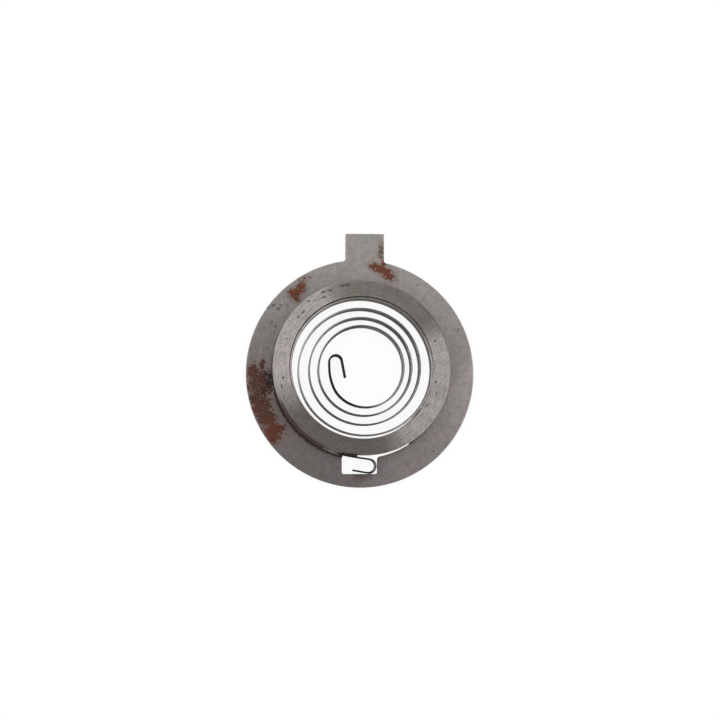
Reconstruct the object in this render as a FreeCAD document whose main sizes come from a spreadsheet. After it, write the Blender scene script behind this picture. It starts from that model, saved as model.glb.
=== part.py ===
# Spiral power spring of a pull starter: a coiled steel strip, wound tight and held in a stamped keeper ring.
# Frame: +Z up out of the table, +Y towards the ring's tab, origin on the coil's axis at the table.
# Lengths are in millimetres. Angles are in degrees, counted counter-clockwise from +X.
import FreeCAD, Part
import math
import os
import Sketcher
from FreeCAD import Vector

# Driving sizes: alias, value, meaning
SIZES = [
    ("bore_radius", 29.65, "radius of the bore that holds the pack"),
    ("ring_wall", 7.05, "width of the ring where it is narrowest, at the top"),
    ("rim_drop", 1.3, "how far the rim's centre lies below the coil's axis"),
    ("rim_shift", 0.3, "how far the rim's centre lies to the left of the coil's axis"),
    ("plate_thickness", 2.0, "thickness of the sheet that the ring is stamped from"),
    ("edge_roll", 0.4, "rounding that the stamping leaves along the ring's outline"),
    ("tab_left", 5.2, "from the coil's axis to the tab's left side"),
    ("tab_right", 7.7, "from the coil's axis to the tab's right side"),
    ("tab_length", 8.9, "how far the tab stands out past the rim"),
    ("tab_root_radius", 0.8, "fillet where the tab meets the rim"),
    ("tab_corner_radius", 0.4, "rounding of the tab's outer corners"),
    ("notch_left", 6.4, "from the coil's axis to the notch's left wall"),
    ("notch_right", 5.4, "from the coil's axis to the notch's right wall"),
    ("notch_corner_radius", 0.5, "fillet in the notch's two inner corners"),
    ("notch_lip_radius", 0.8, "rounding where the notch's walls meet the bore"),
    ("strip_thickness", 0.58, "thickness of the spring strip"),
    ("strip_width", 6.0, "width of the spring strip, along the coil's axis"),
    ("pack_loops", 8, "full loops of the strip in the tight pack"),
    ("open_gap", 0.32, "how much further in the pack's innermost turn lies at the top and on the left"),
    ("tail_angle", 240.0, "direction in which the outermost turn leaves for the notch"),
    ("tail_clearance", 0.5, "gap between the bore and the outermost turn there"),
    ("leg_clearance", 0.2, "gap between the bore's circle and the line of the outer hook's first leg"),
    ("tail_slope", 8.7, "angle of the outer hook's first leg below the horizontal"),
    ("outer_hook_radius", 2.25, "centreline radius of the outer hook's bend"),
    ("outer_hook_turn", 181.0, "angle that the outer hook's bend turns through"),
    ("outer_hook_tip", 4.9, "length of the outer hook's free leg"),
    ("hook_wall_gap", 0.5, "gap between the outer hook and the notch's right wall"),
    ("hook_floor_gap", 0.11, "gap between the outer hook and the notch's floor"),
    ("leave_sweep", 25.0, "angle over which the strip bends inwards to leave the pack"),
    ("leave_tightening", 2.8, "how much smaller its radius is there"),
    ("innermost_radius", 12.2, "radius of the innermost quarter turn"),
    ("lead_radius", 10.3, "radius where the innermost turn runs into the inner hook"),
    ("lead_sweep", 27.1, "angle of that stretch"),
    ("inner_leg_radius", 17.3, "radius of the inner hook's long leg"),
    ("inner_leg_sweep", 22.1, "angle of that leg"),
    ("inner_leg_straight", 1.9, "straight end of that leg"),
    ("inner_hook_radius", 2.1, "centreline radius of the inner hook's bend"),
    ("inner_hook_turn", 170.0, "angle that the inner hook's bend turns through"),
    ("inner_hook_tip", 5.8, "length of the inner hook's free leg"),
]

# The pack is not quite round. Its four sides, counter-clockwise: side, direction,
# gap between the bore and the outermost turn, gap between neighbouring turns
PACK_SIDES = [
    ("right", -15.0, 0.21, 0.14),
    ("top", 40.0, 0.65, 0.065),
    ("left", 140.0, 0.13, 0.085),
    ("bottom", 225.0, 0.63, 0.13),
]

# Shares of the free turns' loss of radius, a quarter turn at a time, from the pack inwards
FREE_SHARES = [0.7, 1.8, 0.6, 1.0, 0.9, 0.6, 0.8, 0.7, 0.9, 0.4, 0.9, 0.4, 1.5]

# Sizes that follow from the others: alias, formula, meaning
DERIVED = [
    (
        "rim_radius",
        "=bore_radius + ring_wall + rim_drop",
        "outside radius of the keeper ring",
    ),
    (
        "tab_end",
        "=rim_radius - rim_drop + tab_length",
        "from the coil's axis to the tab's end",
    ),
    (
        "tail_radius",
        "=bore_radius - leg_clearance - strip_thickness / 2",
        "from the coil's axis to the line of the outer hook's first leg",
    ),
    (
        "outer_hook_x",
        "=notch_right - hook_wall_gap - strip_thickness / 2 - outer_hook_radius",
        "centre of the outer hook's bend, to the right of the coil's axis",
    ),
    (
        "outer_hook_y",
        "=(tail_radius + outer_hook_radius + outer_hook_x * sin(tail_slope * 1 deg))"
        " / cos(tail_slope * 1 deg)",
        "centre of the outer hook's bend, below the coil's axis",
    ),
    (
        "notch_floor",
        "=outer_hook_y + outer_hook_radius + strip_thickness / 2 + hook_floor_gap",
        "from the coil's axis to the notch's floor",
    ),
]

FULL_TURN = 360
QUARTER_TURN = 90
TOLERANCE = 1e-3
ROOT_POINT = (-1, 1)


def share_alias(number):
    """The name of one share of the free turns in the spreadsheet."""
    return f"free_share_{number}"


def make_sheet(doc):
    """Lists every driving size, and the few that follow from them, in a spreadsheet."""
    shares = [
        (share_alias(number), share, f"share of quarter turn {number} in the free turns' loss of radius")
        for number, share in enumerate(FREE_SHARES, start=1)
    ]
    sides = []
    for side, angle, clearance, gap in PACK_SIDES:
        sides += [
            (side + "_angle", angle, f"direction of the pack's {side} side"),
            (side + "_clearance", clearance, "gap between the bore and the outermost turn there"),
            (side + "_gap", gap, "gap between neighbouring turns there"),
        ]
    sheet = doc.addObject("Spreadsheet::Sheet", "Sizes")
    for row, (alias, value, meaning) in enumerate(SIZES + sides + shares + DERIVED, start=1):
        sheet.set(f"A{row}", meaning)
        sheet.set(f"B{row}", str(value))
        sheet.setAlias(f"B{row}", alias)
    doc.recompute()
    return sheet


class Outline:
    """A sketch on a body's base plane, whose dimensions follow formulas of the spreadsheet's sizes."""

    def __init__(self, body, name):
        plane = next(feature for feature in body.Origin.OriginFeatures if feature.Role == "XY_Plane")
        self.sketch = body.newObject("Sketcher::SketchObject", name)
        self.sketch.AttachmentSupport = [(plane, "")]
        self.sketch.MapMode = "FlatFace"

    def value(self, formula):
        """The present value of a formula."""
        return float(self.sketch.evalExpression(formula))

    def dimension(self, kind, name, formula, *where):
        """Adds a dimension that the formula drives."""
        number = self.sketch.addConstraint(Sketcher.Constraint(kind, *where, self.value(formula)))
        self.sketch.renameConstraint(number, name)
        self.sketch.setExpression(f"Constraints.{name}", formula)

    def circle(self, name, radius, left=None, below=None):
        """A circle on the axis, or with its centre this far to the left of it and below it."""
        centre = Vector(-self.value(left), -self.value(below), 0) if left else Vector()
        circle = self.sketch.addGeometry(Part.Circle(centre, Vector(0, 0, 1), self.value(radius)))
        self.dimension("Radius", name + "_radius", radius, circle)
        if left:
            self.dimension("DistanceX", name + "_left", left, circle, 3, *ROOT_POINT)
            self.dimension("DistanceY", name + "_below", below, circle, 3, *ROOT_POINT)
        else:
            self.sketch.addConstraint(Sketcher.Constraint("Coincident", circle, 3, *ROOT_POINT))

    def rectangle(self, name, left, right, near, far, above):
        """A rectangle across the Y axis, above or below the coil's axis, given by distances from it."""
        side = 1 if above else -1
        low_x, high_x = -self.value(left), self.value(right)
        near_y, far_y = side * self.value(near), side * self.value(far)
        corners = [
            Vector(low_x, near_y, 0),
            Vector(high_x, near_y, 0),
            Vector(high_x, far_y, 0),
            Vector(low_x, far_y, 0),
        ]
        lines = [
            self.sketch.addGeometry(Part.LineSegment(corners[k], corners[(k + 1) % 4])) for k in range(4)
        ]
        for k, line in enumerate(lines):
            self.sketch.addConstraint(Sketcher.Constraint("Coincident", line, 2, lines[(k + 1) % 4], 1))
            self.sketch.addConstraint(Sketcher.Constraint("Vertical" if k % 2 else "Horizontal", line))
        self.dimension("DistanceX", name + "_left", left, lines[0], 1, *ROOT_POINT)
        self.dimension("DistanceX", name + "_right", right, *ROOT_POINT, lines[0], 2)
        for end, formula, line in (("near", near, lines[0]), ("far", far, lines[2])):
            where = (*ROOT_POINT, line, 1) if above else (line, 1, *ROOT_POINT)
            self.dimension("DistanceY", f"{name}_{end}", formula, *where)


def round_edges(body, name, radius, edges):
    """Rounds these edges of the body as it is so far."""
    base = body.Tip
    names = [
        f"Edge{number}"
        for number, edge in enumerate(base.Shape.Edges, start=1)
        if any(edge.isSame(wanted) for wanted in edges)
    ]
    if not names:
        raise RuntimeError(f"{name} found no edge to round")
    fillet = body.newObject("PartDesign::Fillet", name)
    fillet.Base = (base, names)
    fillet.setExpression("Radius", f"Sizes.{radius}")
    body.Document.recompute()


def upright_edges(shape, test):
    """The edges along Z whose place in plan passes the test."""
    found = []
    for edge in shape.Edges:
        ends = [vertex.Point for vertex in edge.Vertexes]
        if len(ends) == 2 and (ends[0] - ends[1]).cross(Vector(0, 0, 1)).Length < TOLERANCE:
            if test(ends[0].x, ends[0].y):
                found.append(edge)
    return found


def near(first, second):
    return abs(first - second) < TOLERANCE


def make_keeper_ring(doc, size):
    """The stamped ring: an annulus with an eccentric bore, a locating tab and a notch for the outer hook."""
    body = doc.addObject("PartDesign::Body", "KeeperRing")
    body.Label = "keeper_ring"

    annulus = Outline(body, "AnnulusOutline")
    annulus.circle("rim", "Sizes.rim_radius", left="Sizes.rim_shift", below="Sizes.rim_drop")
    annulus.circle("bore", "Sizes.bore_radius")
    ring = body.newObject("PartDesign::Pad", "Annulus")
    ring.Profile = annulus.sketch
    ring.setExpression("Length", "Sizes.plate_thickness")

    tab_outline = Outline(body, "TabOutline")
    tab_outline.rectangle(
        "tab",
        left="Sizes.tab_left",
        right="Sizes.tab_right",
        near="(Sizes.bore_radius + Sizes.rim_radius - Sizes.rim_drop) / 2",
        far="Sizes.tab_end",
        above=True,
    )
    tab = body.newObject("PartDesign::Pad", "Tab")
    tab.Profile = tab_outline.sketch
    tab.setExpression("Length", "Sizes.plate_thickness")
    doc.recompute()
    uncut = body.Shape.Volume

    notch_outline = Outline(body, "NotchOutline")
    notch_outline.rectangle(
        "notch",
        left="Sizes.notch_left",
        right="Sizes.notch_right",
        near="Sizes.bore_radius / 2",
        far="Sizes.notch_floor",
        above=False,
    )
    notch = body.newObject("PartDesign::Pocket", "Notch")
    notch.Profile = notch_outline.sketch
    notch.Type = "ThroughAll"
    notch.Reversed = True
    doc.recompute()
    if body.Shape.Volume >= uncut:
        raise RuntimeError("the notch cuts nothing")

    def on_rim(x, y):
        return near(math.hypot(x + size("rim_shift"), y + size("rim_drop")), size("rim_radius"))

    def on_bore(x, y):
        return near(math.hypot(x, y), size("bore_radius"))

    roots = upright_edges(body.Tip.Shape, lambda x, y: y > 0 and on_rim(x, y))
    round_edges(body, "TabRoots", "tab_root_radius", roots)
    corners = upright_edges(body.Tip.Shape, lambda x, y: near(y, size("tab_end")))
    round_edges(body, "TabCorners", "tab_corner_radius", corners)
    corners = upright_edges(body.Tip.Shape, lambda x, y: near(y, -size("notch_floor")))
    round_edges(body, "NotchCorners", "notch_corner_radius", corners)
    lips = upright_edges(body.Tip.Shape, lambda x, y: y < 0 and on_bore(x, y))
    round_edges(body, "NotchLips", "notch_lip_radius", lips)

    top = max(
        (face for face in body.Tip.Shape.Faces if near(face.BoundBox.ZLength, 0)),
        key=lambda face: face.CenterOfMass.z,
    )
    round_edges(body, "StampedEdge", "edge_roll", top.OuterWire.Edges)
    return body


def direction(angle):
    """The unit vector at this angle in plan."""
    return Vector(math.cos(math.radians(angle)), math.sin(math.radians(angle)), 0)


class Strip:
    """Bends a strip along its centreline, and keeps the edges of its two sides."""

    def __init__(self, point, heading, thickness):
        self.point = point
        self.heading = heading
        self.half = thickness / 2
        self.sides = []

    def across(self):
        """The unit vector to the left of the heading."""
        return direction(self.heading + QUARTER_TURN)

    def run(self, length):
        """Goes straight on."""
        step = direction(self.heading) * length
        for side in (self.across() * self.half, self.across() * -self.half):
            self.sides.append(Part.LineSegment(self.point + side, self.point + side + step).toShape())
        self.point += step

    def turn(self, radius, angle):
        """Bends to the left by the angle, or to the right where it is negative."""
        outwards = self.across() * (-1 if angle > 0 else 1)
        centre = self.point - outwards * radius
        spin = FreeCAD.Rotation(Vector(0, 0, 1), angle)
        half_spin = FreeCAD.Rotation(Vector(0, 0, 1), angle / 2)
        for distance in (radius - self.half, radius + self.half):
            arm = outwards * distance
            arc = Part.Arc(centre + arm, centre + half_spin.multVec(arm), centre + spin.multVec(arm))
            self.sides.append(arc.toShape())
        self.point = centre + spin.multVec(outwards * radius)
        self.heading += angle

    def ease(self, start, end, angle):
        """Goes from one distance from the coil's axis to another, square to the axis at both ends."""
        swing = (end - start) / 2 / (1 - math.cos(math.radians(angle / 2)))
        self.turn(start + swing, angle / 2)
        self.turn(end - swing, angle / 2)

    def end(self):
        """The strip's cut end."""
        side = self.across() * self.half
        return Part.LineSegment(self.point + side, self.point - side).toShape()


def pack_distance(size, side, turn):
    """How far a turn of the pack lies from the coil's axis on one of its sides. The innermost is turn 0."""
    outermost = size("bore_radius") - size(side + "_clearance") - size("strip_thickness") / 2
    pitch = size("strip_thickness") + size(side + "_gap")
    distance = outermost - pitch * (size("pack_loops") - turn)
    if turn == 0 and side in ("top", "left"):
        distance -= size("open_gap")
    return distance


def bend_outwards(size):
    """The tight pack, its outermost turn and the outer hook."""
    angle, distance = size("right_angle"), pack_distance(size, "right", 0)
    strip = Strip(direction(angle) * distance, angle + QUARTER_TURN, size("strip_thickness"))

    def ease_to(next_angle, next_distance):
        nonlocal angle, distance
        strip.ease(distance, next_distance, (next_angle - angle) % FULL_TURN)
        angle, distance = next_angle, next_distance

    loops = int(size("pack_loops"))
    for turn in range(loops):
        for side in ("top", "left", "bottom"):
            ease_to(size(side + "_angle"), pack_distance(size, side, turn))
        ease_to(size("right_angle"), pack_distance(size, "right", turn + 1))
    for side in ("top", "left"):
        ease_to(size(side + "_angle"), pack_distance(size, side, loops))
    ease_to(size("tail_angle"), size("bore_radius") - size("tail_clearance") - size("strip_thickness") / 2)

    left_to_turn = (-size("tail_slope") - strip.heading) % FULL_TURN
    rise = size("tail_radius") - distance * math.cos(math.radians(left_to_turn))
    strip.turn(rise / (1 - math.cos(math.radians(left_to_turn))), left_to_turn)

    bend_centre = Vector(size("outer_hook_x"), -size("outer_hook_y"), 0)
    strip.run((bend_centre - strip.point).dot(direction(strip.heading)))
    strip.turn(size("outer_hook_radius"), -size("outer_hook_turn"))
    strip.run(size("outer_hook_tip"))
    return strip


def bend_inwards(size):
    """The free inner turns and the inner hook."""
    angle, radius = size("right_angle"), pack_distance(size, "right", 0)
    strip = Strip(direction(angle) * radius, angle - QUARTER_TURN, size("strip_thickness"))
    strip.turn(radius - size("leave_tightening"), -size("leave_sweep"))
    shares = [size(share_alias(number)) for number in range(1, len(FREE_SHARES) + 1)]
    loss = radius - size("innermost_radius")
    for share in shares:
        radius -= loss * share / sum(shares)
        strip.turn(radius, -QUARTER_TURN)

    strip.turn(size("lead_radius"), -size("lead_sweep"))
    strip.turn(size("inner_leg_radius"), -size("inner_leg_sweep"))
    strip.run(size("inner_leg_straight"))
    strip.turn(size("inner_hook_radius"), -size("inner_hook_turn"))
    strip.run(size("inner_hook_tip"))
    return strip


def make_power_spring(doc, size):
    """The strip, coiled and hooked at both ends: its outline in plan, drawn up to the strip's width."""
    outer = bend_outwards(size)
    inner = bend_inwards(size)
    edges = outer.sides + inner.sides + [outer.end(), inner.end()]
    profile = doc.addObject("Part::Feature", "StripOutline")
    profile.Shape = Part.Face(Part.Wire(Part.sortEdges(edges)[0]))

    spring = doc.addObject("Part::Extrusion", "PowerSpring")
    spring.Label = "power_spring"
    spring.Base = profile
    spring.DirMode = "Custom"
    spring.Dir = Vector(0, 0, 1)
    spring.Solid = True
    spring.setExpression("LengthFwd", "Sizes.strip_width")
    doc.recompute()
    return spring


def check(doc, pieces):
    """Stops where an object of the document failed or a piece has no sound shape."""
    for item in doc.Objects:
        if "Invalid" in item.State or "Error" in item.State:
            raise RuntimeError(f"{item.Label} failed")
    for piece in pieces:
        if piece.Shape.isNull() or not piece.Shape.isValid() or len(piece.Shape.Solids) != 1:
            raise RuntimeError(f"{piece.Label} is not one sound solid")


def main():
    doc = FreeCAD.newDocument("SpiralPowerSpring")
    sheet = make_sheet(doc)

    def size(alias):
        return float(sheet.get(alias))

    pieces = [make_keeper_ring(doc, size), make_power_spring(doc, size)]
    doc.recompute()
    check(doc, pieces)
    os.makedirs("parts", exist_ok=True)
    for piece in pieces:
        piece.Shape.exportStep(f"parts/{piece.Label}.step")
        print(piece.Label, "volume", round(piece.Shape.Volume, 2), "box", piece.Shape.BoundBox)


main()
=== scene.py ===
import bmesh
import bpy
import math
from bpy.props import FloatProperty, FloatVectorProperty, IntProperty, PointerProperty
from mathutils import Matrix, Vector


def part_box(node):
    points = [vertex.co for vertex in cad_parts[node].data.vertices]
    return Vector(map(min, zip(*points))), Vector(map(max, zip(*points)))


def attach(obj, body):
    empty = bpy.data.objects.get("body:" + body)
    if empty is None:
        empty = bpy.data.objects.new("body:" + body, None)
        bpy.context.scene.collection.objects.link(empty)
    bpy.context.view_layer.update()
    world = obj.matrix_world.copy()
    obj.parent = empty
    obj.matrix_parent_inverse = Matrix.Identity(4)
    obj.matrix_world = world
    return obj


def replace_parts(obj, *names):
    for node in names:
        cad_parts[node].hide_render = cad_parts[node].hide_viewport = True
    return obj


bl_info = {
    "name": "Spiral Power Spring",
    "version": (1, 0, 0),
    "blender": (4, 5, 0),
    "location": "View3D > Sidebar > Spring",
    "description": "Builds a coiled strip spring in its stamped keeper ring, with rusty steel finishes",
    "category": "Add Mesh",
}

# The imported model, in metres: +Z out of the table, +Y towards the ring's tab, origin on the coil's axis
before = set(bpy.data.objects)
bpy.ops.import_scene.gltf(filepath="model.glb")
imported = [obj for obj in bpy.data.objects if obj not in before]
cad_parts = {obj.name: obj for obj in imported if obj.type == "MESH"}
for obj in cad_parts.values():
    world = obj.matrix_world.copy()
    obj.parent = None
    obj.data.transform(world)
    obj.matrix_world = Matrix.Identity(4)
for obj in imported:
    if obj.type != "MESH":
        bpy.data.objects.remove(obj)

MM = 0.001
RING_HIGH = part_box("keeper_ring")[1]
STRIP_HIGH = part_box("power_spring")[1]

# The pack is not quite round. Its four sides, counter-clockwise: side, direction in degrees,
# gap between the bore and the outermost turn, gap between neighbouring turns, both in millimetres
PACK_SIDES = [
    ("right", -15.0, 0.21, 0.14),
    ("top", 40.0, 0.65, 0.065),
    ("left", 140.0, 0.13, 0.085),
    ("bottom", 225.0, 0.63, 0.13),
]
SIDES = [side for side, *_ in PACK_SIDES]

# The sides where the innermost turn of the pack stands a little apart
OPEN_SIDES = ("top", "left")

# Shares of the free turns' loss of radius, a quarter turn at a time, from the pack inwards
FREE_SHARES = [0.7, 1.8, 0.6, 1.0, 0.9, 0.6, 0.8, 0.7, 0.9, 0.4, 0.9, 0.4, 1.5]

QUARTER_TURN = math.pi / 2
HALF_TURN = math.pi
FULL_TURN = 2 * math.pi

# Angle that one facet of the ring's circles, of a wide bend and of a tight bend covers
RING_FACET = math.radians(2)
WIDE_FACET = math.radians(3)
TIGHT_FACET = math.radians(9)
TIGHT_RADIUS = 5 * MM

# Facets of the rounded corners and edges
ROUND_FACETS = 5
BREAK_FACETS = 2
STRIP_EDGE_FACETS = 3
FILL_EDGE_FACETS = 1

# Edges that turn by more than these are shaded sharp, and get a small bevel
SHARP_ANGLE = math.radians(50)
BREAK_ANGLE = math.radians(60)

# A turn of this much is still straight, a height within this is level, and so is a face with this normal
STRAIGHT_ANGLE = math.radians(1)
LEVEL_HEIGHT = 0.0001 * MM
LEVEL_NORMAL = 0.5

# Shares of the fill's thickness: its rounded edges, and how deep the grease and the wedge lie in the strip
FILL_EDGE = 1 / 8
GREASE_SUNK = 0.45
WEDGE_SUNK = 0.3


def length(description, value):
    """A length in metres, given in millimetres."""
    kind = {"min": 0, "precision": 5, "subtype": "DISTANCE", "unit": "LENGTH"}
    return FloatProperty(description=description, default=value * MM, **kind)


def angle(description, degrees):
    """An angle in radians, given in degrees."""
    kind = {"subtype": "ANGLE", "unit": "ROTATION"}
    return FloatProperty(description=description, default=math.radians(degrees), **kind)


def colour(description, *default):
    """A plain colour: its red, green and blue, linear."""
    kind = {"min": 0, "max": 1, "size": 3, "subtype": "COLOR"}
    return FloatVectorProperty(description=description, default=default, **kind)


class RingSizes(bpy.types.PropertyGroup):
    """The keeper ring's sizes."""

    bore_radius: length("Radius of the bore that holds the pack", 29.65)
    ring_wall: length("Width of the ring where it is narrowest, at the top", 7.05)
    rim_drop: length("How far the rim's centre lies below the coil's axis", 1.3)
    rim_shift: length("How far the rim's centre lies to the left of the coil's axis", 0.3)
    plate_thickness: length("Thickness of the sheet", RING_HIGH.z / MM)
    tab_left: length("From the coil's axis to the tab's left side", 5.2)
    tab_right: length("From the coil's axis to the tab's right side", 7.7)
    tab_end: length("From the coil's axis to the tab's end", RING_HIGH.y / MM)
    tab_root_radius: length("Fillet where the tab meets the rim", 0.8)
    tab_corner_radius: length("Rounding of the tab's outer corners", 0.4)
    notch_left: length("From the coil's axis to the notch's left wall", 6.4)
    notch_right: length("From the coil's axis to the notch's right wall", 5.4)
    notch_corner_radius: length("Fillet in the notch's two inner corners", 0.5)
    notch_lip_radius: length("Rounding where the notch's walls meet the bore", 0.8)
    hook_floor_gap: length("Gap between the outer hook and the notch's floor", 0.11)
    edge_roll: length("Rounding that the stamping leaves along the ring's outline", 0.4)
    cut_break: length("Bevel of the other stamped edges", 0.12)


def with_pack_sides(group):
    """Adds the sizes of the pack's four sides to the strip's."""
    for side, turned, clearance, gap in PACK_SIDES:
        group.__annotations__ |= {
            side + "_angle": angle(f"Direction of the pack's {side} side", turned),
            side + "_clearance": length("Gap between the bore and the pack there", clearance),
            side + "_gap": length("Gap between neighbouring turns there", gap),
        }
    return group


@with_pack_sides
class StripSizes(bpy.types.PropertyGroup):
    """The spring strip's sizes."""

    strip_thickness: length("Thickness of the strip", 0.58)
    strip_width: length("Width of the strip, along the coil's axis", STRIP_HIGH.z / MM)
    edge_radius: length("Rounding of the strip's long edges", 0.1)
    pack_loops: IntProperty(description="Full loops in the tight pack", default=8, min=1)
    open_gap: length("How much further in the pack's innermost turn lies, top and left", 0.32)
    tail_angle: angle("Direction in which the outermost turn leaves for the notch", 240)
    tail_clearance: length("Gap between the bore and the outermost turn there", 0.5)
    leg_clearance: length("Gap between the bore's circle and the outer hook's leg", 0.2)
    tail_slope: angle("Angle of the outer hook's first leg below the horizontal", 8.7)
    hook_wall_gap: length("Gap between the outer hook and the notch's right wall", 0.5)
    outer_hook_radius: length("Centreline radius of the outer hook's bend", 2.25)
    outer_hook_turn: angle("Angle of that bend", 181)
    outer_hook_tip: length("Length of the outer hook's free leg", 4.9)
    leave_sweep: angle("Angle over which the strip bends inwards to leave the pack", 25)
    leave_tightening: length("How much smaller its radius is there", 2.8)
    innermost_radius: length("Radius of the innermost quarter turn", 12.2)
    lead_radius: length("Radius where the innermost turn runs into the hook", 10.3)
    lead_sweep: angle("Angle of that stretch", 27.1)
    inner_leg_radius: length("Radius of the inner hook's long leg", 17.3)
    inner_leg_sweep: angle("Angle of that leg", 22.1)
    inner_leg_straight: length("Straight end of that leg", 1.9)
    inner_hook_radius: length("Centreline radius of the inner hook's bend", 2.1)
    inner_hook_turn: angle("Angle of that bend", 170)
    inner_hook_tip: length("Length of the inner hook's free leg", 5.8)


class FillSizes(bpy.types.PropertyGroup):
    """The sizes of the old grease in the pack and of the dirt caked round it in the bore."""

    grease_thickness: length("Thickness of the grease, mostly hidden in the turns", 0.42)
    grease_depth: length("How far the grease lies below the strip's edges", 0.07)
    dirt_thickness: length("Thickness of the dirt, most of it hidden in the metal", 0.66)
    dirt_height: length("How far the dirt reaches up in the bore", 1.9)
    dirt_start: angle("Direction where the caked dirt begins", -57)
    dirt_end: angle("Direction where it ends, at the notch", 258)
    wedge_start: angle("Direction where the dirt beside the outer hook begins", 256.5)
    wedge_end: angle("Direction where it ends, over the notch", 267)
    wedge_thickness: length("Thickness of that dirt, partly hidden in the strip", 0.7)


class FinishColours(bpy.types.PropertyGroup):
    """The colours of the steel, its rust and the table."""

    # plate_lit and plate_shaded: the bare sheet with painted light, towards the tab, and with painted shade,
    # towards the notch
    plate_lit: colour("Bare sheet where it is cleanest", 0.405, 0.378, 0.358)
    plate_shaded: colour("Bare sheet where it is dull and stained", 0.22, 0.196, 0.192)
    # strip_highlit: the strip's edges with a painted highlight, for the pack's two sides that face the lamps;
    # strip_shaded: the same edges where no highlight is painted
    strip_highlit: colour("The strip's edges where they are brushed bright", 0.54, 0.495, 0.48)
    strip_shaded: colour("The strip's edges where oil has darkened them", 0.27, 0.24, 0.22)
    strip_face: colour("The strip's oily wide faces", 0.10, 0.09, 0.085)
    # strip_black: the near-black laid on the innermost turn's left side and on the outer hook's leg and bend
    strip_black: colour("The strip's ends, blackened by heat", 0.028, 0.027, 0.028)
    rust_orange: colour("Fresh orange-red rust", 0.31, 0.085, 0.038)
    rust_brown: colour("Brown rust", 0.122, 0.05, 0.033)
    rust_pale: colour("Pale powdery flecks in the brown rust", 0.38, 0.27, 0.2)
    rust_stain: colour("The thin stain round the rust", 0.30, 0.222, 0.19)
    spot_grey: colour("The small dull spots on the bare sheet", 0.12, 0.098, 0.074)
    rust_black: colour("Old dark rust and pits", 0.035, 0.022, 0.019)
    grease: colour("Old grease between the turns", 0.2, 0.175, 0.155)
    # grease_highlit: the grease with a painted highlight, for the pack's two sides that face the lamps;
    # scaled down, it gives the dark painted shade in the open gaps
    grease_highlit: colour("The same on the pack's bright sides", 0.4, 0.36, 0.345)
    dirt: colour("Oily brown dirt in the bore", 0.085, 0.052, 0.036)
    dirt_black: colour("Its blackest parts", 0.015, 0.010, 0.009)
    table: colour("The pale table", 0.9, 0.9, 0.9)


def plain_direction(turned):
    """The unit vector at this angle in plan."""
    return Vector((math.cos(turned), math.sin(turned), 0))


def new_object(name, bm, material):
    """Makes an object of one material from a bmesh."""
    mesh = bpy.data.meshes.new(name)
    bm.to_mesh(mesh)
    bm.free()
    mesh.materials.append(material)
    item = bpy.data.objects.new(name, mesh)
    bpy.context.scene.collection.objects.link(item)
    return item


def finished_piece(name, bm, material):
    """Makes a piece from a bmesh, shades it and puts it on the part's body."""
    bmesh.ops.recalc_face_normals(bm, faces=bm.faces)
    piece = new_object(name, bm, material)
    piece.data.shade_smooth()
    piece.data.set_sharp_from_angle(angle=SHARP_ANGLE)
    even = piece.modifiers.new("Even shading", "WEIGHTED_NORMAL")
    even.mode = "FACE_AREA"
    even.keep_sharp = True
    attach(piece, "root")
    return piece


def vertices(items):
    """The vertices among newly made geometry."""
    return [item for item in items if isinstance(item, bmesh.types.BMVert)]


def spin(bm, items, centre, sweep, facets):
    """Turns geometry about an upright axis, drawing what lies between, and gives the geometry at the end."""
    return bmesh.ops.spin(
        bm, geom=items, cent=centre, axis=(0, 0, 1), dvec=(0, 0, 0), angle=sweep, steps=facets,
        use_merge=False, use_duplicate=False,
    )["geom_last"]


def bevel(bm, items, affect, offset, facets, **settings):
    """Rounds these corners or edges."""
    bmesh.ops.bevel(
        bm, geom=items, affect=affect, offset=offset, segments=facets, profile=0.5, material=-1, **settings
    )


# The keeper ring


def step_out_of_circle(bm, centre, radius, left_x, right_x, far_y):
    """A closed outline: a circle with one square step across the Y axis, either a tab or a notch.

    Returns the two vertices where the step meets the circle and the two at its far corners.
    """
    side = math.copysign(1, far_y)
    first_x, last_x = (left_x, right_x) if side > 0 else (right_x, left_x)
    first_angle, last_angle = [side * math.acos((x - centre.x) / radius) for x in (first_x, last_x)]
    sweep = (last_angle - first_angle) % FULL_TURN
    first = bm.verts.new(centre + plain_direction(first_angle) * radius)
    last = vertices(spin(bm, [first], centre, sweep, round(sweep / RING_FACET)))[0]
    near_corner, far_corner = [bm.verts.new((x, far_y, 0)) for x in (last_x, first_x)]
    for ends in ((last, near_corner), (near_corner, far_corner), (far_corner, first)):
        bm.edges.new(ends)
    return [first, last], [near_corner, far_corner]


def has_wall(edge):
    """Whether the edge joins a level face to an upright one."""
    levels = [abs(face.normal.z) > LEVEL_NORMAL for face in edge.link_faces]
    return any(levels) and not all(levels)


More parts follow.
